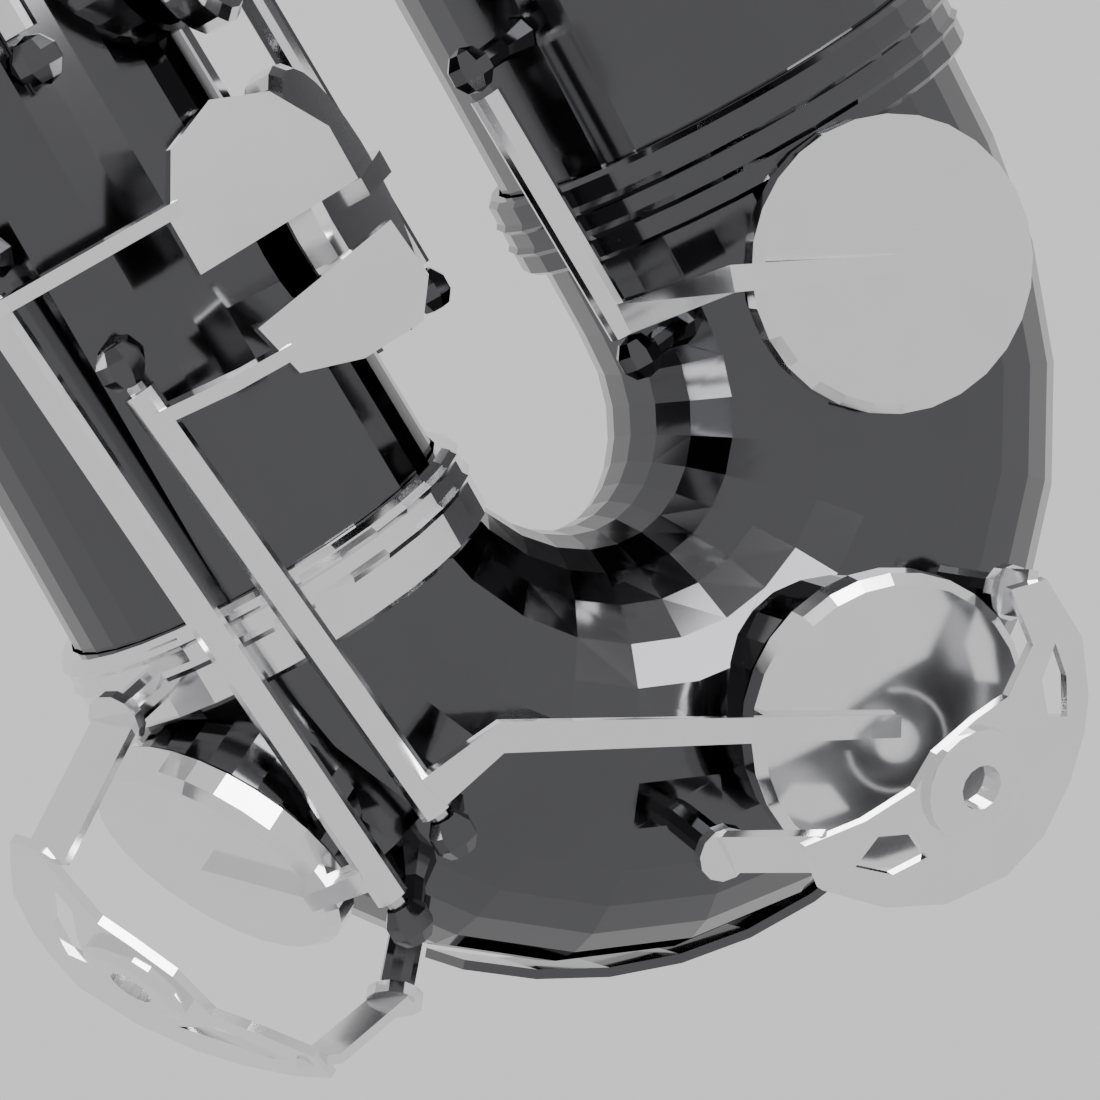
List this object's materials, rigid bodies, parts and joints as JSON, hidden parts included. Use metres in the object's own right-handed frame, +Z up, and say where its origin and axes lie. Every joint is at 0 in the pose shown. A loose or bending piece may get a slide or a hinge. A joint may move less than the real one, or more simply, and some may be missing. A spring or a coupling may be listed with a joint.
{
  "type": "tenor saxophone",
  "caption": "Tenor saxophone with a black nickel body and bright nickel keys, seen low down from the player's right.",
  "frame": {"origin": "centre of the strap ring's eye", "axes": "+Z up the body tube, +X from the body to the bell, +Y to the player's left"},
  "size_m": [0.4113, 0.1528, 0.7611],
  "materials": {
    "brightNickel": "polished",
    "blackNickel": "polished",
    "steel": "polished",
    "ebonite": "matte",
    "cork": "matte"
  },
  "bodies": {
    "horn": {"bell": "blackNickel", "body_bow_ring": "brightNickel", "body_tube": "blackNickel", "bow": "blackNickel", "bow_bell_ring": "blackNickel", "bow_guard": "blackNickel", "c_guard": "brightNickel", "c_rod": "steel", "c_sharp_upper_post": "blackNickel", "c_upper_post": "blackNickel", "eb_guard": "brightNickel", "eb_rod": "steel", "eb_upper_post": "blackNickel", "high_e_rib": "blackNickel", "lower_stack_rib": "blackNickel", "lower_stack_rod": "steel", "mouthpiece": "ebonite", "neck": "blackNickel", "neck_cork": "cork", "neck_receiver": "blackNickel", "neck_screw": "brightNickel", "palm_d_rib": "blackNickel", "palm_eb_rib": "blackNickel", "palm_f_rib": "blackNickel", "side_bb_rib": "blackNickel", "side_c_rib": "blackNickel", "strap_ring": "brightNickel", "trill_rib": "blackNickel", "upper_stack_rib": "blackNickel", "upper_stack_rod": "steel"},
    "d": {"d_key": "brightNickel"},
    "e": {"e_key": "brightNickel"},
    "f": {"f_key": "brightNickel"},
    "fSharp": {"fSharp_key": "brightNickel"},
    "gSharp": {"gSharp_key": "brightNickel"},
    "g": {"g_key": "brightNickel"},
    "a": {"a_key": "brightNickel"},
    "b": {"b_key": "brightNickel"},
    "c": {"c_key": "brightNickel"},
    "trill": {"trill_key": "brightNickel"},
    "sideBb": {"sideBb_key": "brightNickel"},
    "sideC": {"sideC_key": "brightNickel"},
    "highE": {"highE_key": "brightNickel"},
    "palmD": {"palmD_key": "brightNickel"},
    "palmEb": {"palmEb_key": "brightNickel"},
    "palmF": {"palmF_key": "brightNickel"},
    "low_eb": {"low_eb_key": "brightNickel"},
    "low_c": {"low_c_key": "brightNickel"},
    "low_c_sharp": {"low_c_sharp_key": "brightNickel"}
  },
  "joints": [
    {"name": "d_pivot", "type": "hinge", "parent": "horn", "child": "d", "pos_m": [0.07659, -0.00368, -0.2785], "axis": [0.0291, -0.0025, -0.9996], "range_deg": [0, 7], "stiffness_Nm_per_rad": 0.05, "springref_deg": -2.86},
    {"name": "e_pivot", "type": "hinge", "parent": "horn", "child": "e", "pos_m": [0.0753, -0.00356, -0.234], "axis": [0.0291, -0.0025, -0.9996], "range_deg": [0, 7], "stiffness_Nm_per_rad": 0.05, "springref_deg": -2.86},
    {"name": "f_pivot", "type": "hinge", "parent": "horn", "child": "f", "pos_m": [0.07399, -0.00345, -0.189], "axis": [0.0291, -0.0025, -0.9996], "range_deg": [0, 7], "stiffness_Nm_per_rad": 0.05, "springref_deg": -2.86},
    {"name": "fSharp_pivot", "type": "hinge", "parent": "horn", "child": "fSharp", "pos_m": [0.07294, -0.00336, -0.153], "axis": [0.0291, -0.0025, -0.9996], "range_deg": [0, 7], "stiffness_Nm_per_rad": 0.05, "springref_deg": -2.86},
    {"name": "gSharp_pivot", "type": "hinge", "parent": "horn", "child": "gSharp", "pos_m": [0.07194, -0.00327, -0.1185], "axis": [-0.0291, 0.0025, 0.9996], "range_deg": [0, 7], "stiffness_Nm_per_rad": 0.05, "springref_deg": -2.86},
    {"name": "g_pivot", "type": "hinge", "parent": "horn", "child": "g", "pos_m": [0.04118, -0.03114, -0.061], "axis": [-0.0061, 0.0286, 0.9996], "range_deg": [0, 7], "stiffness_Nm_per_rad": 0.05, "springref_deg": -2.86},
    {"name": "a_pivot", "type": "hinge", "parent": "horn", "child": "a", "pos_m": [0.04098, -0.03023, -0.029], "axis": [-0.0061, 0.0286, 0.9996], "range_deg": [0, 7], "stiffness_Nm_per_rad": 0.05, "springref_deg": -2.86},
    {"name": "b_pivot", "type": "hinge", "parent": "horn", "child": "b", "pos_m": [0.04079, -0.0293, 0.0035], "axis": [-0.0061, 0.0286, 0.9996], "range_deg": [0, 7], "stiffness_Nm_per_rad": 0.05, "springref_deg": -2.86},
    {"name": "c_pivot", "type": "hinge", "parent": "horn", "child": "c", "pos_m": [0.04059, -0.02839, 0.0355], "axis": [-0.0061, 0.0286, 0.9996], "range_deg": [0, 7], "stiffness_Nm_per_rad": 0.05, "springref_deg": -2.86},
    {"name": "trill_pivot", "type": "hinge", "parent": "horn", "child": "trill", "pos_m": [0.03219, -0.03391, -0.203], "axis": [0.002, 0.0291, 0.9996], "range_deg": [0, 7], "stiffness_Nm_per_rad": 0.05, "springref_deg": -2.86},
    {"name": "sideBb_pivot", "type": "hinge", "parent": "horn", "child": "sideBb", "pos_m": [0.01946, -0.02616, -0.0735], "axis": [0.0146, 0.0253, 0.9996], "range_deg": [0, 7], "stiffness_Nm_per_rad": 0.05, "springref_deg": -2.86},
    {"name": "sideC_pivot", "type": "hinge", "parent": "horn", "child": "sideC", "pos_m": [0.02649, -0.02814, -0.0415], "axis": [0.0081, 0.0281, 0.9996], "range_deg": [0, 7], "stiffness_Nm_per_rad": 0.05, "springref_deg": -2.86},
    {"name": "highE_pivot", "type": "hinge", "parent": "horn", "child": "highE", "pos_m": [0.03407, -0.02778, 0.0095], "axis": [0.0005, 0.0292, 0.9996], "range_deg": [0, 7], "stiffness_Nm_per_rad": 0.05, "springref_deg": -2.86},
    {"name": "palmD_pivot", "type": "hinge", "parent": "horn", "child": "palmD", "pos_m": [0.0319, 0.0253, 0.0895], "axis": [0.0031, -0.029, 0.9996], "range_deg": [0, 7], "stiffness_Nm_per_rad": 0.05, "springref_deg": -2.86},
    {"name": "palmEb_pivot", "type": "hinge", "parent": "horn", "child": "palmEb", "pos_m": [0.03202, 0.02411, 0.1305], "axis": [0.0031, -0.029, 0.9996], "range_deg": [0, 7], "stiffness_Nm_per_rad": 0.05, "springref_deg": -2.86},
    {"name": "palmF_pivot", "type": "hinge", "parent": "horn", "child": "palmF", "pos_m": [0.03215, 0.02295, 0.1705], "axis": [0.0031, -0.029, 0.9996], "range_deg": [0, 7], "stiffness_Nm_per_rad": 0.05, "springref_deg": -2.86},
    {"name": "low_eb_pivot", "type": "hinge", "parent": "horn", "child": "low_eb", "pos_m": [0.01351, -0.0316, -0.3225], "axis": [-0.0522, 0.0348, 0.998], "range_deg": [0, 7], "stiffness_Nm_per_rad": 0.05, "springref_deg": -2.86},
    {"name": "low_c_pivot", "type": "hinge", "parent": "horn", "child": "low_c", "pos_m": [0.02391, -0.03625, -0.32875], "axis": [-0.0829, 0.0235, 0.9963], "range_deg": [0, 6], "stiffness_Nm_per_rad": 0.05, "springref_deg": -2.86},
    {"name": "low_c_sharp_pivot", "type": "hinge", "parent": "horn", "child": "low_c_sharp", "pos_m": [0.09341, -0.0228, -0.30475], "axis": [0.0424, 0.0081, -0.9991], "range_deg": [0, 7], "stiffness_Nm_per_rad": 0.05, "springref_deg": -2.86}
  ]
}
